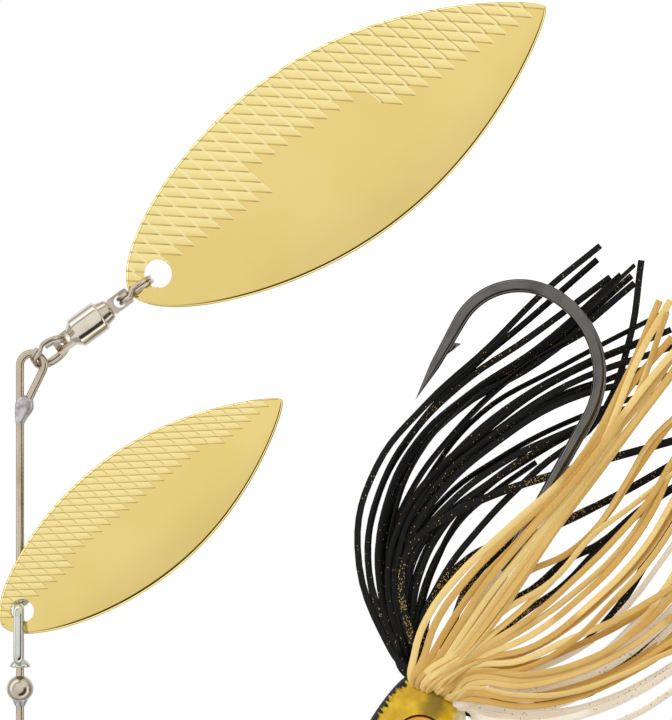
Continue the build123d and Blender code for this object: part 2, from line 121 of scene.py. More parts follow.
class Finish:
    """The node tree of a material, or of the tent, while it is being written."""

    def __init__(self, name, owner=None):
        self.owner = owner or bpy.data.materials.new(name)
        self.owner.use_nodes = True
        self.tree = self.owner.node_tree
        self.tree.nodes.clear()

    def node(self, kind, settings=None, inputs=None, output=0):
        """Any node: its settings are set first, then the values or links of its sockets."""
        made = self.tree.nodes.new(kind)
        for name, value in (settings or {}).items():
            setattr(made, name, value)
        for key, value in (inputs or {}).items():
            if isinstance(value, Amount):
                self.tree.links.new(value.socket, made.inputs[key])
            else:
                made.inputs[key].default_value = value
        return Amount(self, made.outputs[output] if made.outputs else None)

    def place(self):
        """Where a point of the piece lies, in metres."""
        return self.node("ShaderNodeTexCoord", output=3)

    def mix(self, share, first, second):
        """Colour between two colours."""
        return self.node("ShaderNodeMix", {"data_type": "RGBA"}, {0: share, 6: first, 7: second}, output=2)

    def along(self, place, direction, origin=(0, 0, 0), unit=1.0):
        """How far a place lies along a direction from an origin, in the unit given."""
        offset = self.node("ShaderNodeVectorMath", {"operation": "SUBTRACT"}, {0: place, 1: origin})
        inputs = {0: offset, 1: Vector(direction) / unit}
        return self.node("ShaderNodeVectorMath", {"operation": "DOT_PRODUCT"}, inputs, output=1)

    def noise(self, place, scale, detail=3.0):
        """Soft noise from 0 to 1, with its scale in features per metre."""
        return self.node("ShaderNodeTexNoise", inputs={"Vector": place, "Scale": scale, "Detail": detail})

    def bump(self, strength, depth, height):
        """Normals of a fine relief, with its depth in millimetres."""
        inputs = {"Strength": strength, "Distance": depth * MM, "Height": height}
        return self.node("ShaderNodeBump", inputs=inputs)

    def skin(self, inputs):
        """The surface shader, with the inputs given by name."""
        return self.node("ShaderNodeBsdfPrincipled", inputs=inputs)

    def material(self, shader):
        """The finished material, which shows this shader."""
        self.node("ShaderNodeOutputMaterial", inputs={0: shader})
        return self.owner


def paint(red, green, blue):
    """Linear colour of a paint named by its usual 0 to 255 values."""

    def linear(level):
        level /= 255
        return level / 12.92 if level <= 0.04045 else ((level + 0.055) / 1.055) ** 2.4

    return (linear(red), linear(green), linear(blue), 1.0)


tent = Finish("tent", bpy.data.worlds.new("tent"))
bpy.context.scene.world = tent.owner
toward = tent.node("ShaderNodeTexCoord")
facing = tent.along(toward, FRONT)
off_axis = facing.math("ARCCOSINE")
low_right = tent.along(toward, RIGHT * 0.75 - UP * 0.66)
round_axis = low_right / (1 - facing * facing).math("SQRT")
high = tent.along(toward, RIGHT * 0.2 + UP * 0.98)
# The tent's parts, between angles off the front axis, in radians.
dark_strip = off_axis.band(0.58, 0.63, 1.08, 1.14) * round_axis.ramp(0.35, 0.7)
faint_strip = off_axis.band(0.86, 0.92, 1.08, 1.14) * round_axis.ramp(-0.35, -0.7)
softbox = off_axis.band(1.16, 1.22, 1.44, 1.52) * round_axis.math("ABSOLUTE").ramp(0.45, 0.7)
dim_back = off_axis.band(1.66, 1.74, 2.05, 2.2)
tent_shine = 0.98 + high * 0.06 - low_right.ramp(0.1, 0.5) * 0.1 + softbox * 0.65
tent_shine = tent_shine - dark_strip * 0.8 - faint_strip * 0.5 - dim_back * 0.5
is_camera = tent.node("ShaderNodeLightPath", output=0)
is_glossy = tent.node("ShaderNodeLightPath", output=3)
shown = tent.node("ShaderNodeBackground", inputs={0: WHITE, 1: 1.0})
mirrored = tent.node("ShaderNodeBackground", inputs={0: (1, 0.995, 0.985, 1), 1: tent_shine})
soft_fill = tent.node("ShaderNodeBackground", inputs={0: WHITE, 1: 0.62})
unseen = tent.node("ShaderNodeMixShader", inputs={0: is_glossy, 1: soft_fill, 2: mirrored})
tent_light = tent.node("ShaderNodeMixShader", inputs={0: is_camera, 1: unseen, 2: shown})
tent.node("ShaderNodeOutputWorld", inputs={0: tent_light})


def soft_lamp(name, place, size, power):
    """Square lamp aimed at the lure's middle; metal doesn't mirror it."""
    data = bpy.data.lights.new(name, "AREA")
    data.size = size
    data.energy = power
    lamp = bpy.data.objects.new(name, data)
    aim = (LURE_MIDDLE - place).to_track_quat("-Z", "Y")
    lamp.matrix_world = Matrix.Translation(place) @ aim.to_matrix().to_4x4()
    lamp.visible_glossy = False
    bpy.context.scene.collection.objects.link(lamp)


soft_lamp("key_lamp", in_lure(-300, 420, 560), size=0.5, power=3.4)
soft_lamp("fill_lamp", in_lure(420, -120, 480), size=0.6, power=1.6)


def finished(mesh, name, material, smooth=True):
    """Object of a finished bmesh, at the origin, with its place in its mesh."""
    bmesh.ops.recalc_face_normals(mesh, faces=mesh.faces)
    data = bpy.data.meshes.new(name)
    mesh.to_mesh(data)
    mesh.free()
    data.materials.append(material)
    if smooth:
        data.shade_smooth()
    piece = bpy.data.objects.new(name, data)
    bpy.context.scene.collection.objects.link(piece)
    return piece


ground = Finish("pale_floor")
floor_seen = ground.node("ShaderNodeLightPath", output=0)
matt = ground.node("ShaderNodeBsdfDiffuse", inputs={0: (0.9, 0.9, 0.9, 1)})
whitened = ground.node("ShaderNodeEmission", inputs={0: WHITE, 1: floor_seen * 0.6})
pale_floor = ground.material(ground.node("ShaderNodeAddShader", inputs={0: matt, 1: whitened}))
mesh = bmesh.new()
floor_place = Matrix.Translation((0, 0, FLOOR_HEIGHT))
bmesh.ops.create_grid(mesh, x_segments=1, y_segments=1, size=FLOOR_HALF, matrix=floor_place)
floor = finished(mesh, "floor", pale_floor, smooth=False)
floor.visible_glossy = False

# ---- Wire frame ----
# One stainless spring wire, 1.1 mm thick: bent into the end loop, the upper arm, the line tie and the
# lower arm, whose tail is cast into the head. It is left bare, with the soft sheen of drawn wire.


def metal(name, colour, shade, roughness, grain_scale, grain_depth):
    """Bare or plated metal: slight stains, fine grain and an uneven polish."""
    made = Finish(name)
    place = made.place()
    stains = made.noise(place, 260.0)
    finer = made.node("ShaderNodeVectorMath", {"operation": "MULTIPLY"}, {0: place, 1: grain_scale})
    grain = made.noise(finer, 1.0, 2.0)
    skin = {
        "Base Color": made.mix(stains.ramp(0.42, 0.72), colour, shade),
        "Metallic": 1.0,
        "Roughness": roughness + grain * 0.1 + stains * 0.06,
        "Normal": made.bump(0.5, grain_depth, grain + stains * 0.5),
    }
    return made.material(made.skin(skin))


def coat(name, material):
    """Puts a finish on a piece that keeps its CAD mesh."""
    nodes[name].material_slots[0].material = material


wire_steel = metal(
    "wire_steel", paint(204, 192, 172), paint(186, 171, 148),
    roughness=0.12, grain_scale=(700, 700, 700), grain_depth=0.003,
)
coat("wire_frame", wire_steel)

# ---- Solder ----
# Tin solder runs round the two wires of the end loop and fixes the bead to the arm. It sets with a
# satin, slightly rippled skin, duller and greyer than the wire.
ARM_X = -2.4
ROUND = 2
tin = Finish("solder")
tin_place = tin.place()
tin_ripple = tin.noise(tin_place, 1100.0, 4.0)
tin_pits = tin.noise(tin_place, 3800.0, 2.0)
tin_skin = {
    "Base Color": tin.mix(tin_ripple.ramp(0.35, 0.7), paint(214, 210, 212), paint(160, 154, 156)),
    "Metallic": 1.0,
    "Roughness": 0.26 + tin_pits * 0.22,
    "Normal": tin.bump(0.9, 0.06, tin_ripple + tin_pits * 0.35),
}
solder = tin.material(tin.skin(tin_skin))
coat("bead_solder", solder)


def next_ring(mesh, edges):
    """Draws a ring of edges out into the next one, and gives the new corners and edges."""
    grown = bmesh.ops.extrude_edge_only(mesh, edges=edges)["geom"]
    ring = [item for item in grown if isinstance(item, bmesh.types.BMVert)]
    edges = [item for item in grown if isinstance(item, bmesh.types.BMEdge)]
    return ring, [edge for edge in edges if all(vert in ring for vert in edge.verts)]


def drawn_out(name, stations, sides, material, extra=None):
    """Closed piece through sections, each given as its place, two half axes and squareness (2 is round)."""

    def squared(share, squareness):
        return math.copysign(abs(share) ** (2 / squareness), share)

    mesh = bmesh.new()
    ring = bmesh.ops.create_circle(mesh, segments=sides, radius=1)["verts"]
    edges = list(mesh.edges)
    for number, (centre, wide, deep, squareness) in enumerate(stations):
        if number:
            ring, edges = next_ring(mesh, edges)
        for side, vert in enumerate(ring):
            turn = 2 * math.pi * side / sides
            vert.co = centre + wide * squared(math.cos(turn), squareness)
            vert.co += deep * squared(math.sin(turn), squareness)
    bmesh.ops.holes_fill(mesh, edges=[edge for edge in mesh.edges if edge.is_boundary])
    if extra:
        extra(mesh)
    return finished(mesh, name, material)


# Each row of the lump: its height, its shift off the arm, its half width and its half depth.
solder_rows = (
    (74.25, 0.62, 0.3, 0.25), (74.15, 0.62, 0.7, 0.5), (73.9, 0.62, 0.98, 0.72), (73.5, 0.61, 1.17, 0.82),
    (73.0, 0.58, 1.25, 0.85), (72.5, 0.55, 1.24, 0.83), (72.1, 0.47, 1.16, 0.8), (71.7, 0.34, 1.0, 0.75),
    (71.3, 0.2, 0.85, 0.7), (70.9, 0.07, 0.72, 0.66), (70.6, 0.0, 0.62, 0.6), (70.5, 0.0, 0.5, 0.5),
)
solder_stations = [
    (in_lure(ARM_X + shift, y), RIGHT * half_width * MM, FRONT * half_depth * MM, ROUND)
    for y, shift, half_width, half_depth in solder_rows
]
loop_solder = drawn_out("loop_solder_run", solder_stations, 32, solder)
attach(loop_solder, "frame")
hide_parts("loop_solder")

# ---- Bead and clevis ----
# The brass bead is nickel plated and soldered to the arm as a stop. The clevis is a nickel-plated strip
# folded into a bow, with a dished disc at each end that turns on the arm.
DISC_STATIONS = (39.3, 46.7)
DISC_BORE = 0.64
BOW_REACH = 3.2
BOW_BEND = 1.1
BOW_FOOT = 0.7
BOW_HALF_WIDTH = 0.64
BOW_HALF_THICKNESS = 0.42

nickel = metal(
    "nickel_plate", paint(206, 196, 180), paint(178, 165, 148),
    roughness=0.1, grain_scale=(1500, 1500, 1500), grain_depth=0.006,
)
clevis_plate = metal(
    "clevis_plate", paint(216, 218, 208), paint(196, 198, 186),
    roughness=0.06, grain_scale=(1400, 1400, 1400), grain_depth=0.004,
)
coat("bead", nickel)

near_disc, far_disc = DISC_STATIONS
straight = BOW_REACH - BOW_BEND
bends = [math.radians(15 * step) for step in range(7)]
bow = [(near_disc, BOW_FOOT), (near_disc, straight)]
bow += [
    (near_disc + BOW_BEND * (1 - math.cos(turn)), straight + BOW_BEND * math.sin(turn))
    for turn in bends[1:]
]
bow += [((near_disc + far_disc) / 2, BOW_REACH)]
bow += [
    (far_disc - BOW_BEND * (1 - math.sin(turn)), straight + BOW_BEND * math.cos(turn))
    for turn in bends
]
bow += [(far_disc, BOW_FOOT)]
bow_stations = []
for number, (y, depth) in enumerate(bow):
    before, after = bow[max(number - 1, 0)], bow[min(number + 1, len(bow) - 1)]
    run = Vector((after[0] - before[0], after[1] - before[1])).normalized()
    outward = (FRONT * run.x - UP * run.y) * BOW_HALF_THICKNESS * MM
    bow_stations.append((in_lure(ARM_X, y, depth), RIGHT * BOW_HALF_WIDTH * MM, outward, ROUND))


def dished_discs(mesh):
    """The two discs that turn on the arm, dished away from each other."""
    rim = (
        (DISC_BORE, -0.2), (1.0, -0.02), (1.3, 0.36), (1.37, 0.56),
        (1.35, 0.76), (1.26, 0.7), (0.95, 0.36), (DISC_BORE, 0.2),
    )
    for station, dish in zip(DISC_STATIONS, (-1, 1)):
        spots = [
            bmesh.ops.create_vert(mesh, co=in_lure(ARM_X + reach, station + dish * rise))["vert"][0]
            for reach, rise in rim
        ]
        loop = [mesh.edges.new(pair) for pair in zip(spots, spots[1:] + spots[:1])]
        bmesh.ops.spin(
            mesh, geom=spots + loop, cent=in_lure(ARM_X, station), axis=UP,
            angle=2 * math.pi, steps=32, use_merge=True,
        )


clevis = drawn_out("clevis_bow", bow_stations, 24, clevis_plate, dished_discs)
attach(clevis, "clevis")
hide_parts("clevis")

# ---- Ball-bearing swivel ----
# A turned brass barrel with a fixed eye post, a pressed cap and a stem that turns on six steel balls.
# All of it is nickel plated, and the plating is brightest on the barrel.
CHAIN = math.radians(36)
DOWN_CHAIN = RIGHT * math.cos(CHAIN) + UP * math.sin(CHAIN)
ACROSS_CHAIN = UP * math.cos(CHAIN) - RIGHT * math.sin(CHAIN)
LOOP_MIDDLE = in_lure(-0.83, 78.2)
BARREL_START = 6.34

barrel_plate = metal(
    "barrel_plate", paint(226, 216, 200), paint(206, 194, 176),
    roughness=0.02, grain_scale=(900, 900, 900), grain_depth=0.002,
)
post_plate = metal(
    "post_plate", paint(198, 188, 174), paint(150, 138, 124),
    roughness=0.16, grain_scale=(700, 700, 2200), grain_depth=0.01,
)
coat("swivel_housing", barrel_plate)
coat("swivel_cap", nickel)
coat("swivel_stem", post_plate)
coat("swivel_balls", nickel)

# The barrel's shell in profile: how far along the chain, and its radius.
barrel_profile = (
    (0.0, 1.0), (-0.02, 1.2), (0.04, 1.28), (0.3, 1.52), (0.6, 1.83), (0.78, 2.0), (0.92, 2.09), (1.1, 2.12),
    (4.6, 2.12), (4.72, 2.1), (4.86, 2.0), (4.98, 1.87), (5.0, 1.8), (4.98, 1.7),
)
mesh = bmesh.new()
barrel_start = LOOP_MIDDLE + DOWN_CHAIN * BARREL_START * MM
spots = [
    bmesh.ops.create_vert(mesh, co=barrel_start + (DOWN_CHAIN * along + FRONT * radius) * MM)["vert"][0]
    for along, radius in barrel_profile
]
line = [mesh.edges.new(pair) for pair in zip(spots, spots[1:])]
bmesh.ops.spin(
    mesh, geom=spots + line, cent=LOOP_MIDDLE, axis=DOWN_CHAIN, angle=2 * math.pi, steps=64, use_merge=True
)
barrel = finished(mesh, "swivel_barrel_shell", barrel_plate)
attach(barrel, "swivel_body")

# ---- Split rings ----
# Round spring wire wound into two flat turns, with a short jog from one turn to the other, and nickel
# plated. One joins the end loop to the swivel, the other joins the swivel to the big blade.
RING_WIRE = 0.60
RING_RADIUS = 2.5
RING_PITCH = 0.62
RING_JOG = 24
RING_STEP = 6
INNER_RING_TILT = math.radians(25)


def split_ring(name, centre, normal, body, node):
    """Split ring of round wire about its centre, its turns lying across the normal."""
    coil = bpy.data.curves.new(name, "CURVE")
    coil.dimensions = "3D"
    coil.bevel_depth = RING_WIRE / 2 * MM
    coil.bevel_resolution = 4
    coil.use_fill_caps = True
    turn = coil.splines.new("POLY")
    angles = range(0, 720 - RING_JOG + 1, RING_STEP)
    turn.points.add(len(angles) - 1)
    inward = DOWN_CHAIN.cross(normal).normalized()
    for point, angle in zip(turn.points, angles):
        step = min(max((angle - 360 + RING_JOG) / RING_JOG, 0), 1)
        lift = (step * step * (3 - 2 * step) - 0.5) * RING_PITCH
        spot = math.radians(angle)
        round_ring = inward * math.cos(spot) + normal.cross(inward) * math.sin(spot)
        point.co = (*(centre + (round_ring * RING_RADIUS + normal * lift) * MM), 1)
    holder = bpy.data.objects.new(name + "_coil", coil)
    data = bpy.data.meshes.new_from_object(holder)
    bpy.data.objects.remove(holder)
    data.name = name
    data.materials.append(nickel)
    data.shade_smooth()
    ring = bpy.data.objects.new(name, data)
    bpy.context.scene.collection.objects.link(ring)
    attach(ring, body)
    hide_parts(node)


inner_low, inner_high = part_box("inner_split_ring")
outer_low, outer_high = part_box("outer_split_ring")
inner_normal = ACROSS_CHAIN * math.cos(INNER_RING_TILT) - FRONT * math.sin(INNER_RING_TILT)
split_ring("inner_ring", (inner_low + inner_high) / 2, inner_normal, "inner_ring", "inner_split_ring")
split_ring("outer_ring", (outer_low + outer_high) / 2, ACROSS_CHAIN, "outer_ring", "outer_split_ring")

# ---- Willow-leaf blades ----
# Brass sheet, stamped: cupped along and across, pierced near one end, and embossed on its upper half
# with overlapping scales. The lower half stays mirror smooth. Gold plated, with a polished edge.
EDGE_STEPS = 120
EDGE_LOOPS = 40
LIP_LOOPS = 6
LIP_WIDTH = 0.35
LIP_TURN = math.radians(42)
BIG_HOLE = in_lure(15.751, 90.247)
BIG_ANGLE = 34.6
SMALL_HOLE = in_lure(-1.930, 46.100, 1.9)
SMALL_ANGLE = 39.0


def gold_plate(
    name, hole, blade_angle, row_angle, row_pitch, cross_angle, cross_pitch, limit,
    bare_from, bare_to, bare_limit, ridge_width, ridge_painted_tone, ridge_share, ridge_from, crease_shade_share,
):
    """Gold plate with rows of scales from a limit upwards, raised where a stretch is left bare; the scales'
    light and shade are painted into its colour.
    """
    made = Finish(name)
    place = made.place()
    x = made.along(place, RIGHT, hole, MM)
    y = made.along(place, UP, hole, MM)

    rows, crossings = math.radians(row_angle), math.radians(cross_angle)
    across_rows = Vector((-math.sin(rows), math.cos(rows))) / row_pitch
    across_crossings = Vector((-math.sin(crossings), math.cos(crossings))) / cross_pitch
    row = x * across_rows.x + y * across_rows.y
    row_at = row.math("FRACT")
    bend = (row_at * row_at - row_at) * 0.2
    crossing = x * across_crossings.x + y * across_crossings.y + bend
    crossing_at = crossing.math("FRACT")

    # A whole scale is kept or left out, so its middle is what is compared with the limit.
    row_middle, crossing_middle = row.math("FLOOR") + 0.5, crossing.math("FLOOR") + 0.5
    cell = Matrix((across_rows, across_crossings)).inverted()
    axis = math.radians(blade_angle)
    to_tip = Vector((math.cos(axis), math.sin(axis))) @ cell
    to_back = Vector((-math.sin(axis), math.cos(axis))) @ cell
    cell_along = row_middle * to_tip.x + crossing_middle * to_tip.y
    cell_height = row_middle * to_back.x + crossing_middle * to_back.y
    in_bare = cell_along.math("GREATER_THAN", bare_from) * cell_along.math("LESS_THAN", bare_to)
    scaled = (cell_height - in_bare * (bare_limit - limit)).math("GREATER_THAN", limit)

    ridge = crossing_at.ramp(ridge_width, 0.0) + crossing_at.ramp(1 - ridge_width, 1.0)
    ridge = ridge * row_at.ramp(ridge_from, ridge_from + 0.2)
    groove_and_painted_shade = row_at.ramp(0.22, 0.08) * (1 - ridge * 0.8) * (0.5 + crossing_at * 0.5)
    tipward = made.along(place, RIGHT * math.cos(axis) + UP * math.sin(axis), hole, MM)
    crease_shade = crossing_at.band(ridge_width - 0.05, ridge_width, ridge_width + 0.02, ridge_width + 0.07)
    crease_shade = crease_shade * tipward.ramp(12.0, 46.0) * crease_shade_share

    worn = made.noise(place, 60.0)
    smudge = made.noise(place, 420.0, 4.0)
    smooth_gold = made.mix(worn.ramp(0.35, 0.7), paint(236, 212, 136), paint(232, 207, 128))
    # Painted shading: each scale is lighter at its top and darker down to its row line.
    scale_gold_with_painted_light = made.mix(row_at.ramp(0.1, 0.95), paint(240, 219, 146), paint(249, 232, 164))
    # Painted highlight along the ridges of the big blade, painted shade along those of the small blade.
    scale_gold_with_painted_light = made.mix(ridge * ridge_share, scale_gold_with_painted_light, ridge_painted_tone)
    # Painted shade in the groove under each row line.
    scale_gold_with_painted_light = made.mix(groove_and_painted_shade * 0.9, scale_gold_with_painted_light, paint(176, 148, 74))
    # Painted shade: a thin dark line beside each ridge, stronger towards the tip; only the big blade has it.
    scale_gold_with_painted_light = made.mix(crease_shade, scale_gold_with_painted_light, paint(140, 112, 48))
    relief = scaled * (row_at * 0.5 + ridge * 0.25 * ridge_share - groove_and_painted_shade * 0.25)
    skin = {
        "Base Color": made.mix(scaled, smooth_gold, scale_gold_with_painted_light),
        "Metallic": 1.0,
        "Roughness": 0.06 + smudge * 0.04 + scaled * 0.1,
        "Normal": made.bump(0.45, 0.08, relief + smudge * 0.005),
    }
    return made.material(made.skin(skin))


def part_way(first, last, share):
    """Value that lies a share of the way from the first to the last."""
    return first + (last - first) * share


def willow_blade(name, hole, material, angle, length, width, lower, hole_d, setback, rise, bow, thickness):
    """Cupped blade: rings of edges grow from the hole to the outline and roll over in a small lip."""
    axis = math.radians(angle)
    to_tip = RIGHT * math.cos(axis) + UP * math.sin(axis)
    to_back = UP * math.cos(axis) - RIGHT * math.sin(axis)
    middle = length / 2 - setback
    long_radius = ((length / 2) ** 2 + rise**2) / (2 * rise)
    cross_radius = ((width / 2) ** 2 + bow**2) / (2 * bow)
    crown = math.sqrt(long_radius**2 - middle**2)
    lip_radius = LIP_WIDTH / math.sin(LIP_TURN)

    def cupped(x, y, drop):
        dip = cross_radius - math.sqrt(cross_radius**2 - y**2)
        depth = math.sqrt((long_radius - dip) ** 2 - (x - middle) ** 2) - crown - drop
        return hole + (to_tip * x + to_back * y + FRONT * depth) * MM

    def outline(turn, inset):
        share = (1 - math.cos(math.pi * turn)) / 2
        side = 1 if turn < 1 else -lower
        fullness = max(math.sin(math.pi * share**0.925), 0) ** (0.62 + 0.17 * share)
        return share * (length - 2 * inset) - setback + inset, side * fullness * (width / 2 - inset)

    mesh = bmesh.new()
    ring = bmesh.ops.create_circle(mesh, segments=EDGE_STEPS, radius=hole_d / 2)["verts"]
    turns = [2 * step / EDGE_STEPS for step in range(EDGE_STEPS)]
    starts = [
        (-math.cos(math.pi * turn) * hole_d / 2, math.sin(math.pi * turn) * hole_d / 2)
        for turn in turns
    ]
    edges = list(mesh.edges)
    for loop in range(EDGE_LOOPS + LIP_LOOPS + 1):
        reach = min(loop / EDGE_LOOPS, 1) ** 1.15
        roll = LIP_TURN * max(loop - EDGE_LOOPS, 0) / LIP_LOOPS
        if loop:
            ring, edges = next_ring(mesh, edges)
        for vert, turn, start in zip(ring, turns, starts):
            end = outline(turn, LIP_WIDTH - lip_radius * math.sin(roll))
            x, y = (part_way(first, last, reach) for first, last in zip(start, end))
            vert.co = cupped(x, y, lip_radius * (1 - math.cos(roll)))
    blade = finished(mesh, name, material)
    wall = blade.modifiers.new("sheet", "SOLIDIFY")
    wall.thickness = thickness * MM
    wall.offset = 0
    rim = blade.modifiers.new("polished_edge", "BEVEL")
    rim.width = thickness * 0.3 * MM
    rim.segments = 3
    rim.angle_limit = math.radians(40)
    return blade


big_gold = gold_plate(
    "big_blade_gold", BIG_HOLE, BIG_ANGLE, row_angle=-3.5, row_pitch=1.26, cross_angle=-42,
    cross_pitch=2.0, limit=0.4, bare_from=17.5, bare_to=36.3, bare_limit=4.4,
    ridge_width=0.14, ridge_painted_tone=paint(252, 238, 180), ridge_share=0.75, ridge_from=-0.2, crease_shade_share=0.55,
)
small_gold = gold_plate(
    "small_blade_gold", SMALL_HOLE, SMALL_ANGLE, row_angle=3.0, row_pitch=0.89, cross_angle=-42,
    cross_pitch=1.48, limit=0.9, bare_from=9.0, bare_to=32.0, bare_limit=2.0,
    ridge_width=0.08, ridge_painted_tone=paint(196, 172, 98), ridge_share=0.8, ridge_from=0.3, crease_shade_share=0.0,
)
big_blade = willow_blade(
    "big_willow_blade", BIG_HOLE, big_gold, BIG_ANGLE, length=66.1, width=25.5, lower=0.955,
    hole_d=3.75, setback=4.3, rise=4.0, bow=1.7, thickness=0.6,
)
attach(big_blade, "big_blade")
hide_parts("big_blade")
small_blade = willow_blade(
    "small_willow_blade", SMALL_HOLE, small_gold, SMALL_ANGLE, length=46.9, width=16.8, lower=0.985,
    hole_d=3.1, setback=3.25, rise=2.8, bow=1.2, thickness=0.5,
)
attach(small_blade, "small_blade")
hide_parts("small_blade")

# ---- Hook ----
# High-carbon wire with a long ground point and a cut barb, forged flatter on the bend and plated black
# nickel. Its front end is cast into the head, and the round shank runs back through the skirt.
SHANK = math.radians(60.7)
TO_REAR = RIGHT * math.cos(SHANK) + UP * math.sin(SHANK)
TO_BACK = UP * math.cos(SHANK) - RIGHT * math.sin(SHANK)
HEAD_REAR = Vector((52.216, 35.433, 0))
REAR = in_lure(*HEAD_REAR)
SHANK_STATIONS = (-9.9, 10, 20, 26, 28)
SHANK_HALF = 0.8
FORGED_HALF_WIDTH = 0.9
FORGED_HALF_DEPTH = 0.68
FORGED_SQUARENESS = 2.15
FORGING_STEPS = 7
BEND_START = 41.0
BEND_RADIUS = 12.0
POINT_RADIUS = 9.0
HALF_BEND_STEPS = 30
SPEAR = 11.85
SPEAR_STEPS = 24
# The barb's corners: along the shank, away from it, and half the thickness there.
BARB_CORNERS = ((38.2, 20.75, 0.3), (40.9, 20.75, 0.32), (40.5, 20.2, 0.24), (41.46, 19.33, 0.05))

hook_plate = metal(
    "black_nickel", paint(108, 106, 103), paint(90, 88, 86),
    roughness=0.05, grain_scale=(900, 900, 900), grain_depth=0.003,
)

# Each row: along the shank, away from it, turn of the wire, half width, half depth and squareness.
hook_route = [(x, 0.0, 0.0, SHANK_HALF, SHANK_HALF, ROUND) for x in SHANK_STATIONS]
for step in range(1, FORGING_STEPS + 1):
    worked = step / FORGING_STEPS
    x = part_way(SHANK_STATIONS[-1], BEND_START, worked)
    half_width = part_way(SHANK_HALF, FORGED_HALF_WIDTH, worked)
    half_depth = part_way(SHANK_HALF, FORGED_HALF_DEPTH, worked)
    hook_route.append((x, 0.0, 0.0, half_width, half_depth, part_way(ROUND, FORGED_SQUARENESS, worked)))
for step in range(1, 2 * HALF_BEND_STEPS + 1):
    turn = math.pi / 2 * step / HALF_BEND_STEPS
    radius = BEND_RADIUS if step <= HALF_BEND_STEPS else POINT_RADIUS
    x = BEND_START + BEND_RADIUS - radius + radius * math.sin(turn)
    y = BEND_RADIUS - radius * math.cos(turn)
    hook_route.append((x, y, turn, FORGED_HALF_WIDTH, FORGED_HALF_DEPTH, FORGED_SQUARENESS))
spear_root = BEND_START + BEND_RADIUS - POINT_RADIUS
spear_height = BEND_RADIUS + POINT_RADIUS
for step in range(1, SPEAR_STEPS + 1):
    ground = step / SPEAR_STEPS
    left = SPEAR * (1 - ground)
    # Ground in two slopes, the steeper one at the very point.
    half_width = min(FORGED_HALF_WIDTH, 0.02 + left * 0.128, 0.5 + left * 0.034)
    half_depth = min(FORGED_HALF_DEPTH, half_width)
    squareness = part_way(FORGED_SQUARENESS, ROUND, ground)
    hook_route.append((spear_root - SPEAR + left, spear_height, math.pi, half_width, half_depth, squareness))
hook_stations = []
for x, y, turn, half_width, half_depth, squareness in hook_route:
    outward = (TO_REAR * math.sin(turn) - TO_BACK * math.cos(turn)) * half_width * MM
    centre = REAR + (TO_REAR * x + TO_BACK * y) * MM
    hook_stations.append((centre, outward, FRONT * half_depth * MM, squareness))


def cut_barb(mesh):
    """Thin spur raised from the inner side of the spear, leaning back from the point."""
    spots = []
    for x, y, half_depth in BARB_CORNERS:
        for side in (half_depth, -half_depth):
            spot = REAR + (TO_REAR * x + TO_BACK * y + FRONT * side) * MM
            spots.append(bmesh.ops.create_vert(mesh, co=spot)["vert"][0])
    bmesh.ops.convex_hull(mesh, input=spots)


hook = drawn_out("hook_wire", hook_stations, 32, hook_plate, cut_barb)
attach(hook, "frame")
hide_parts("hook")

# ---- Head ----
# Lead cast round the hook shank and the wire's tail, sealed, then airbrushed: gold flanks, a dark band
# along the back, a pale belly and clear varnish. The keel behind it has a thin coat of pale yellow.
head_paint = Finish("head_paint")
head_place = head_paint.place()
behind = head_paint.along(head_place, TO_REAR, REAR, MM)
height = head_paint.along(head_place, TO_BACK, REAR, MM)
cheek = head_paint.along(head_place, FRONT, REAR, MM)
# Mist and blotches of the airbrush, and the hairs in which the dark band of the back ends.
mist = head_paint.noise(head_place, 900.0, 5.0)
blotch = head_paint.noise(head_place, 330.0)
brushed = head_paint.node(
    "ShaderNodeCombineXYZ", inputs={0: behind * 2.6, 1: height * 0.35, 2: cheek * 0.35}
)
hairs = head_paint.noise(brushed, 1.0, 3.0)
below_back = 5.75 - (behind + 7) * (behind + 7) * 0.028 - height
band = (below_back - hairs * 2.6).ramp(-0.3, -0.7)
gill = ((behind + 1.3) * (behind + 1.3) * 0.35 + (height + 0.6) * (height + 0.6)).math("SQRT")
mottle = (blotch * 0.6 + mist * 0.4).ramp(0.36, 0.62)
flank = head_paint.mix(mottle, paint(214, 174, 6), paint(184, 142, 0))
flank = head_paint.mix((height + mist * 1.6).ramp(-2.4, -4.2), flank, paint(226, 222, 184))
flank = head_paint.mix((gill - mist * 1.2).ramp(1.5, 0.0) * 0.85, flank, paint(112, 90, 4))
flank = head_paint.mix(band, flank, paint(14, 12, 9))
keel_wear = (behind + mist * 2.0).ramp(13.0, 16.5)
keel_coat = head_paint.mix(keel_wear, paint(226, 200, 104), paint(214, 210, 196))
head_skin = {
    "Base Color": head_paint.mix(behind.ramp(0.2, 0.6), flank, keel_coat),
    "Roughness": 0.24 + mist * 0.12 + band * 0.3,
    "Normal": head_paint.bump(0.6, 0.08, blotch + mist * 0.3),
    "Coat Weight": 0.25 - band * 0.25,
    "Specular IOR Level": 0.3,
}
coat("head", head_paint.material(head_paint.skin(head_skin)))

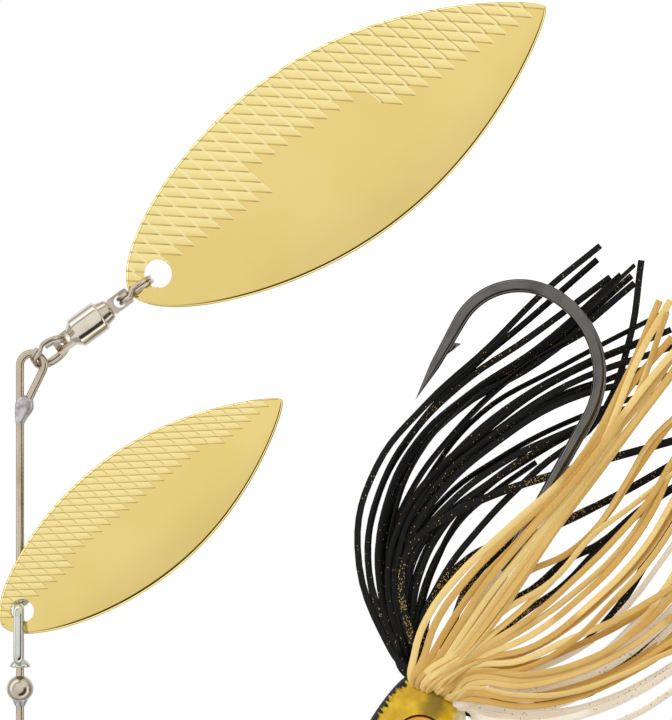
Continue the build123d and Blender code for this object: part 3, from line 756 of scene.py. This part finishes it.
# ---- Eyes ----
# Printed discs under a clear resin dome, glued in the sockets: a black pupil, a gold ring round it, and an
# amber iris that darkens to its rim.
EYE_AHEAD = 6.5
EYE_BELOW = 1.2
EYE_MIDDLE = REAR - (TO_REAR * EYE_AHEAD + TO_BACK * EYE_BELOW) * MM
for name in ("left_eye", "right_eye"):
    iris = Finish(name + "_print")
    iris_place = iris.place()
    across = iris.along(iris_place, TO_REAR, EYE_MIDDLE, MM)
    upward = iris.along(iris_place, TO_BACK, EYE_MIDDLE, MM)
    reach = (across * across + upward * upward).math("SQRT")
    dots = iris.noise(iris_place, 2600.0)
    amber = iris.mix((reach + dots * 0.3).ramp(1.6, 3.0), paint(238, 190, 70), paint(222, 150, 36))
    rimmed = iris.mix((reach + dots * 0.1).ramp(3.08, 3.26), amber, paint(70, 32, 14))
    ringed = iris.mix(reach.ramp(1.75, 1.6), rimmed, paint(232, 196, 96))
    eye_skin = {
        "Base Color": iris.mix(reach.ramp(1.5, 1.4), ringed, paint(14, 12, 12)),
        "Roughness": 0.12 + dots * 0.05,
        "Coat Weight": 1.0,
        "Coat Roughness": 0.03,
    }
    coat(name, iris.material(iris.skin(eye_skin)))

# ---- Skirt collar ----
# A short sleeve of black rubber rolled over the middles of the strands. It grips them on the neck behind
# the head, and stays hidden where they spring out over it.
rubber = Finish("collar_rubber")
rubber_grain = rubber.noise(rubber.place(), 1500.0, 4.0)
rubber_skin = {
    "Base Color": rubber.mix(rubber_grain, paint(26, 25, 24), paint(44, 42, 40)),
    "Roughness": 0.55 + rubber_grain * 0.2,
    "Normal": rubber.bump(0.8, 0.05, rubber_grain),
}
coat("skirt_collar", rubber.material(rubber.skin(rubber_skin)))

# ---- Skirt ----
# Silicone sheet cut into strands, held by the collar at their middles, so that they spring out over it
# and sweep back along the hook: black with gold flakes behind, translucent tan in front, and clear with
# dark flakes below. Each row gives one strand's course, and the others fill in between neighbours.
STRAND_THICKNESS = 0.3
REARWARD = Vector((math.cos(SHANK), math.sin(SHANK), 0))
BACKWARD = Vector((-math.sin(SHANK), math.cos(SHANK), 0))


def silicone(
    name, tone, deep, flake, flake_share, flake_size, flaked_from, roughness, see_through, shine_level, painted_glow
):
    """Coloured silicone that lets some light through; strands differ, and metal flakes lie in some. A
    painted glow, emitted in the strand's own colour, lightens the tan and clear ones.
    """
    made = Finish(name)
    place = made.place()
    strand = made.node("ShaderNodeAttribute", {"attribute_name": "strand"}, output=2)
    cloud = made.noise(place, 160.0)
    patch = made.noise(place, 75.0)
    cells = made.node("ShaderNodeTexVoronoi", inputs={"Vector": place, "Scale": 1000.0 / flake_size})
    cell_colour = Amount(made, cells.socket.node.outputs["Color"])
    chance = made.node("ShaderNodeSeparateColor", inputs={0: cell_colour})
    laden = strand.ramp(flaked_from, flaked_from + 0.05) * patch.ramp(0.42, 0.66) * flake_share
    laden = laden + flake_share * 0.06
    shine = cells.ramp(0.62, 0.5) * (chance + laden).math("GREATER_THAN", 1.0)
    colour = made.mix((strand * 0.9 + cloud * 0.3).ramp(0.1, 0.95), tone, deep)
    colour = made.mix(shine, colour, flake)
    grain = made.noise(place, 1400.0)
    bump = made.bump(0.12, 0.02, grain + shine)
    skin = {
        "Base Color": colour,
        # Painted glow: emission in the strand's colour, which stands in for light passing through the
        # silicone.
        "Emission Color": colour,
        "Emission Strength": painted_glow,
        "Metallic": shine * 0.9,
        "Roughness": roughness + grain * 0.1,
        "Normal": bump,
        "Specular IOR Level": shine_level,
    }
    surface = made.skin(skin)
    if see_through:
        lit_through = tuple(first * 0.6 + second * 0.4 for first, second in zip(tone, deep))
        through = made.node("ShaderNodeBsdfTranslucent", inputs={0: lit_through, "Normal": bump})
        surface = made.node("ShaderNodeMixShader", inputs={0: see_through, 1: surface, 2: through})
    return made.material(surface)


def strand_course(courses, place, roots, depths, sink, chance):
    """Points of one strand: under the collar, over its edge, and on along its course."""
    first_angle, last_angle, rise = roots
    near, middle, far = depths
    row = min(int(place), len(courses) - 2)
    neighbours = zip(courses[row], courses[row + 1])
    flat = [Vector(first).lerp(Vector(second), place - row) for first, second in neighbours]
    angle = math.radians(part_way(first_angle, last_angle, place / (len(courses) - 1)))
    angle += chance.uniform(-0.08, 0.08)
    backward = BACKWARD * math.cos(angle)
    outward = Vector((0, 0, math.sin(angle)))
    points = [
        HEAD_REAR + REARWARD * 0.3 + backward * 2.8 + outward * 2.6,
        HEAD_REAR + REARWARD * (rise + chance.uniform(-0.35, 0.35)) + backward * 4.75 + outward * 4.2,
    ]
    for step, spot in enumerate(flat):
        share = step / (len(flat) - 1)
        depth = part_way(near, middle, share * 2) if share < 0.5 else part_way(middle, far, share * 2 - 1)
        points.append(Vector((spot.x, spot.y, depth + sink * min(step / 2, 1))))
    return points


def lay_strands(name, courses, extra, width, roots, depths, material, node, seed):
    """Group of flat strands from the collar: one along each course, and extra ones between neighbours."""
    chance = random.Random(seed)
    sheet = bpy.data.curves.new(name, "CURVE")
    sheet.dimensions = "3D"
    sheet.twist_mode = "Z_UP"
    sheet.resolution_u = 6
    sheet.extrude = (width - STRAND_THICKNESS) / 2
    sheet.bevel_depth = STRAND_THICKNESS / 2
    sheet.bevel_resolution = 1
    sheet.use_fill_caps = True
    places = [float(row) for row in range(len(courses))]
    places += [chance.uniform(0, len(courses) - 1.001) for _ in range(extra)]
    tones = []
    for number, place in enumerate(places):
        between = number >= len(courses)
        sink = chance.uniform(-2.0, -0.8) if between else chance.gauss(0, 0.5)
        points = strand_course(courses, place, roots, depths, sink, chance)
        # Cut a little long or short, leaning to one side, and curling along its length.
        cut = chance.uniform(-0.05, 0.02)
        lean = math.pi / 2 + chance.gauss(0, 0.4)
        curl = chance.uniform(-0.5, 0.5)
        points[-1] = points[-1] + (points[-1] - points[-2]) * cut
        strand = sheet.splines.new("BEZIER")
        strand.bezier_points.add(len(points) - 1)
        for step, (knot, point) in enumerate(zip(strand.bezier_points, points)):
            knot.co = point
            knot.handle_left_type = knot.handle_right_type = "AUTO"
            knot.tilt = lean + curl * step / (len(points) - 1)
        tones.append(chance.uniform(0.6, 1.0) if between else chance.uniform(0.0, 0.7))
    holder = bpy.data.objects.new(name + "_sheet", sheet)
    data = bpy.data.meshes.new_from_object(holder)
    bpy.data.objects.remove(holder)
    data.name = name
    data.transform(DRAWING @ Matrix.Scale(MM, 4))
    tint = data.attributes.new("strand", "FLOAT", "POINT")
    per_strand = len(data.vertices) // len(places)
    tint.data.foreach_set("value", [tone for tone in tones for _ in range(per_strand)])
    data.materials.append(material)
    data.shade_smooth()
    group = bpy.data.objects.new(name, data)
    bpy.context.scene.collection.objects.link(group)
    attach(group, "frame")
    if node:
        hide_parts(node)


black_silicone = silicone(
    "black_silicone", paint(3, 3, 3), paint(6, 5, 4), flake=paint(204, 174, 96), flake_share=0.13,
    flake_size=0.12, flaked_from=0.62, roughness=0.4, see_through=0.0, shine_level=0.22, painted_glow=0.0,
)
stray_silicone = silicone(
    "stray_silicone", paint(3, 3, 3), paint(6, 5, 4), flake=paint(208, 180, 104), flake_share=0.22,
    flake_size=0.13, flaked_from=-0.1, roughness=0.4, see_through=0.0, shine_level=0.22, painted_glow=0.0,
)
tan_silicone = silicone(
    "tan_silicone", paint(248, 224, 150), paint(208, 164, 78), flake=paint(226, 190, 118), flake_share=0.0,
    flake_size=0.5, flaked_from=2.0, roughness=0.3, see_through=0.3, shine_level=0.4, painted_glow=0.08,
)
clear_silicone = silicone(
    "clear_silicone", paint(248, 244, 234), paint(232, 222, 204), flake=paint(150, 140, 124),
    flake_share=0.08, flake_size=0.2, flaked_from=0.3, roughness=0.2, see_through=0.4, shine_level=0.5,
    painted_glow=0.22,
)

black_courses = (
    ((46.3, 40.8), (42.0, 54.2), (44.5, 64.7), (51.1, 73.0), (59.4, 80.6), (66.6, 87.8), (74.5, 94.3)),
    ((46.6, 40.8), (43.4, 52.6), (45.5, 62.9), (50.7, 71.0), (57.8, 78.4), (64.7, 84.2), (74.3, 92.6)),
    ((46.9, 40.8), (43.5, 51.0), (44.4, 59.8), (48.8, 68.4), (55.7, 75.6), (64.7, 81.8), (75.6, 89.9)),
    ((47.2, 40.8), (44.8, 50.6), (46.0, 60.5), (49.9, 68.1), (56.8, 74.4), (66.0, 80.6), (76.8, 90.1)),
    ((47.4, 40.8), (44.9, 49.3), (45.2, 56.8), (48.4, 64.4), (55.2, 72.1), (66.0, 78.6), (78.7, 89.0)),
    ((47.7, 41.0), (46.0, 49.3), (46.8, 57.9), (50.2, 66.4), (57.0, 73.9), (68.6, 82.2), (79.1, 91.8)),
    ((47.8, 41.4), (46.4, 48.0), (47.4, 55.2), (51.3, 63.1), (58.4, 71.8), (68.6, 77.8), (83.3, 85.5)),
    ((47.8, 41.4), (46.0, 48.7), (47.3, 56.5), (51.5, 63.1), (58.1, 68.8), (67.3, 75.6), (83.3, 82.8)),
    ((48.1, 40.8), (46.4, 47.3), (46.4, 54.6), (48.9, 61.1), (54.1, 68.4), (63.4, 77.3), (72.6, 82.8)),
    ((48.1, 41.4), (46.6, 48.7), (48.2, 56.5), (52.8, 63.1), (60.7, 69.7), (69.9, 75.6), (84.4, 80.9)),
    ((48.2, 41.4), (47.2, 48.0), (48.6, 54.6), (52.8, 61.1), (60.1, 67.7), (69.9, 73.6), (83.7, 76.9)),
    ((48.4, 40.8), (47.4, 47.3), (47.7, 54.6), (50.2, 60.5), (54.8, 66.4), (63.4, 73.6), (75.2, 80.0)),
    ((48.5, 41.4), (47.6, 47.3), (48.9, 53.9), (53.5, 60.5), (60.7, 65.8), (69.3, 70.4), (81.8, 75.0)),
    ((48.8, 41.4), (48.1, 47.3), (49.5, 53.9), (54.1, 59.8), (61.4, 65.4), (68.6, 68.9), (79.1, 73.0)),
    ((48.9, 41.4), (48.5, 47.3), (49.9, 53.3), (54.1, 58.5), (59.4, 62.5), (66.0, 66.8), (75.2, 71.7)),
    ((49.1, 41.4), (48.9, 46.7), (50.2, 51.9), (52.8, 56.5), (56.8, 60.5), (62.0, 64.4), (68.6, 68.4)),
    ((49.4, 41.4), (49.3, 46.0), (50.5, 51.3), (52.8, 55.9), (56.1, 59.8), (60.1, 63.1), (64.7, 66.4)),
    ((49.7, 41.4), (50.1, 46.0), (51.5, 50.6), (53.6, 54.6), (56.5, 58.5), (60.7, 61.8), (66.0, 65.5)),
    ((49.9, 42.1), (50.7, 47.3), (52.3, 51.9), (55.5, 57.9), (59.4, 62.2), (64.7, 65.8), (72.6, 70.4)),
    ((50.2, 42.1), (52.8, 49.3), (58.1, 56.5), (66.0, 64.4), (73.9, 71.0), (78.1, 81.5), (79.8, 92.7)),
)
lay_strands(
    "black_strands", black_courses, extra=4, width=0.9, roots=(-8, -95, 0.3), depths=(-2.5, -4.5, -5),
    material=black_silicone, node="skirt_black", seed=3,
)

stray_courses = (
    ((49.1, 42.1), (47.8, 50.6), (49.3, 54.6), (53.5, 57.9), (60.1, 61.1), (68.6, 63.9), (84.4, 68.4)),
    ((50.7, 40.8), (52.0, 47.3), (56.5, 52.5), (60.7, 54.6), (66.6, 56.3), (76.2, 60.9), (84.4, 65.5)),
    ((52.8, 38.8), (54.8, 44.7), (56.8, 49.3), (60.7, 53.3), (64.7, 55.1), (68.6, 57.2), (76.5, 61.0)),
    ((54.1, 37.9), (60.1, 45.8), (65.1, 48.7), (69.7, 52.5), (73.9, 54.6), (79.1, 58.9), (85.7, 63.4)),
    ((54.1, 37.5), (56.8, 40.8), (60.7, 43.1), (64.7, 46.0), (68.9, 48.9), (74.1, 54.2), (81.1, 60.1)),
    ((54.4, 35.5), (63.4, 37.9), (69.9, 40.1), (75.2, 44.7), (80.4, 52.6), (82.8, 57.2), (87.0, 63.1)),
    ((54.8, 34.2), (64.7, 34.2), (72.8, 35.0), (77.2, 38.9), (81.1, 42.1), (84.4, 46.0), (87.0, 49.3)),
    ((54.8, 33.7), (64.7, 33.1), (73.9, 36.0), (79.1, 40.8), (82.4, 44.7), (85.7, 48.7), (88.3, 52.6)),
)
lay_strands(
    "stray_strands", stray_courses, extra=0, width=1.05, roots=(-60, -150, 0.6), depths=(-1.5, -2.5, -2.5),
    material=stray_silicone, node=None, seed=5,
)

front_courses = (
    ((49.4, 40.5), (50.9, 45.0), (54.9, 50.6), (61.4, 56.8), (70.6, 65.5), (76.5, 75.6), (81.4, 86.8)),
    ((50.6, 40.1), (52.2, 44.7), (55.9, 50.0), (62.0, 56.3), (71.0, 64.7), (77.2, 75.0), (83.3, 82.2)),
    ((51.5, 40.0), (53.8, 44.1), (57.3, 49.3), (63.1, 55.5), (72.0, 65.5), (79.8, 74.7), (85.7, 83.5)),
    ((52.3, 39.7), (55.2, 44.4), (58.6, 49.7), (63.4, 55.5), (71.5, 64.7), (78.9, 75.0), (84.4, 81.5)),
    ((53.0, 39.2), (56.0, 43.7), (59.4, 48.7), (64.1, 54.6), (72.6, 65.5), (78.9, 80.0), (82.8, 86.8)),
    ((53.5, 38.9), (57.3, 43.9), (60.7, 48.7), (66.0, 55.8), (72.8, 65.0), (77.8, 73.1), (82.3, 85.2)),
    ((54.4, 39.2), (58.6, 44.4), (61.8, 48.7), (66.0, 54.6), (72.3, 63.6), (79.7, 73.0), (85.0, 80.0)),
    ((55.2, 39.2), (59.7, 44.4), (63.1, 49.4), (67.3, 55.9), (73.3, 63.9), (79.4, 72.1), (84.4, 78.6)),
)
lay_strands(
    "front_strands", front_courses, extra=0, width=0.95, roots=(45, 80, 0.0), depths=(4, 5, 4.5),
    material=tan_silicone, node="skirt_tan", seed=7,
)

lower_courses = (
    ((56.8, 42.1), (62.7, 50.2), (69.9, 53.9), (74.5, 58.5), (78.5, 64.4), (81.8, 69.0), (85.7, 73.6)),
    ((56.1, 40.8), (60.7, 45.8), (67.3, 50.0), (72.6, 55.9), (77.8, 59.8), (82.4, 63.4), (87.0, 67.1)),
    ((56.8, 41.0), (63.4, 46.3), (68.6, 51.3), (73.9, 57.9), (77.2, 63.1), (80.4, 68.4), (84.4, 72.3)),
    ((57.4, 40.8), (64.7, 45.4), (70.6, 50.6), (76.5, 56.5), (80.4, 61.1), (82.8, 65.1), (85.7, 69.7)),
    ((56.8, 39.8), (64.7, 44.4), (70.6, 48.7), (75.8, 53.5), (80.4, 59.8), (83.7, 65.8), (86.4, 70.4)),
    ((56.8, 39.5), (64.7, 43.0), (71.2, 48.0), (76.5, 53.3), (80.4, 58.9), (82.4, 63.1), (84.4, 67.7)),
    ((56.8, 39.2), (65.3, 41.7), (72.6, 47.3), (78.5, 53.3), (82.4, 59.2), (85.0, 64.4), (87.0, 68.4)),
    ((55.7, 38.9), (63.4, 40.5), (69.9, 44.1), (75.2, 48.7), (79.1, 52.6), (82.8, 57.9), (85.7, 63.1)),
    ((55.7, 38.4), (63.4, 39.7), (69.3, 42.3), (76.5, 45.4), (81.8, 48.4), (85.7, 50.6), (89.7, 52.6)),
    ((56.0, 38.0), (64.7, 37.9), (72.6, 40.1), (78.5, 43.7), (83.7, 48.7), (87.0, 52.6), (89.7, 56.5)),
    ((56.0, 37.7), (63.4, 38.5), (69.9, 42.1), (75.2, 47.3), (79.8, 52.3), (83.7, 57.9), (87.0, 63.1)),
    ((56.2, 37.2), (63.6, 37.1), (71.9, 39.2), (79.1, 44.7), (83.1, 50.6), (85.7, 55.2), (88.3, 59.2)),
    ((56.8, 36.0), (62.7, 35.2), (69.3, 35.5), (76.5, 37.9), (81.1, 40.1), (85.7, 42.1), (89.7, 44.7)),
    ((57.0, 36.6), (63.4, 36.3), (70.2, 37.9), (76.5, 40.8), (81.8, 44.4), (85.7, 47.3), (89.0, 50.0)),
    ((57.0, 35.4), (63.4, 34.6), (70.6, 35.8), (76.5, 38.1), (81.8, 41.4), (85.7, 44.1), (89.0, 46.7)),
    ((57.3, 34.6), (64.0, 33.7), (71.2, 35.1), (77.8, 38.1), (82.4, 40.8), (86.4, 43.4), (89.7, 46.0)),
)
lay_strands(
    "lower_strands", lower_courses, extra=4, width=0.85, roots=(62, 126, 0.6), depths=(3.8, 3.5, 2.5),
    material=tan_silicone, node=None, seed=11,
)

clear_courses = (
    ((57.3, 35.8), (64.9, 38.1), (72.6, 42.1), (77.8, 47.3), (81.8, 52.6), (84.4, 56.5), (87.0, 61.1)),
    ((57.8, 34.7), (66.0, 35.2), (73.9, 38.1), (80.4, 42.7), (84.4, 46.7), (87.0, 50.0), (89.7, 53.3)),
    ((57.6, 35.0), (64.7, 36.6), (72.6, 39.5), (78.5, 44.7), (82.4, 49.3), (85.7, 53.9), (89.0, 57.9)),
    ((58.1, 33.4), (63.4, 32.9), (69.9, 34.2), (77.2, 38.4), (82.4, 43.1), (86.4, 47.3), (89.7, 50.6)),
    ((58.1, 33.7), (64.0, 33.0), (71.2, 33.4), (78.5, 36.2), (83.1, 39.1), (87.0, 42.1), (89.9, 45.0)),
    ((58.4, 32.6), (62.7, 32.0), (68.6, 32.6), (75.2, 34.5), (80.4, 37.1), (85.0, 40.1), (89.0, 43.4)),
    ((58.4, 32.1), (64.0, 31.0), (71.2, 32.2), (77.8, 34.8), (83.1, 38.1), (87.0, 41.4), (89.7, 44.1)),
    ((57.8, 32.1), (61.8, 31.4), (67.3, 31.6), (73.9, 33.4), (79.8, 36.2), (84.4, 39.2), (88.3, 42.1)),
    ((57.8, 31.3), (61.8, 30.2), (68.6, 29.6), (76.5, 31.6), (83.1, 35.5), (87.0, 38.8), (89.7, 41.4)),
)
lay_strands(
    "clear_strands", clear_courses, extra=9, width=0.95, roots=(138, 198, 0.2), depths=(0.4, 1.4, 2.5),
    material=clear_silicone, node="skirt_clear", seed=13,
)
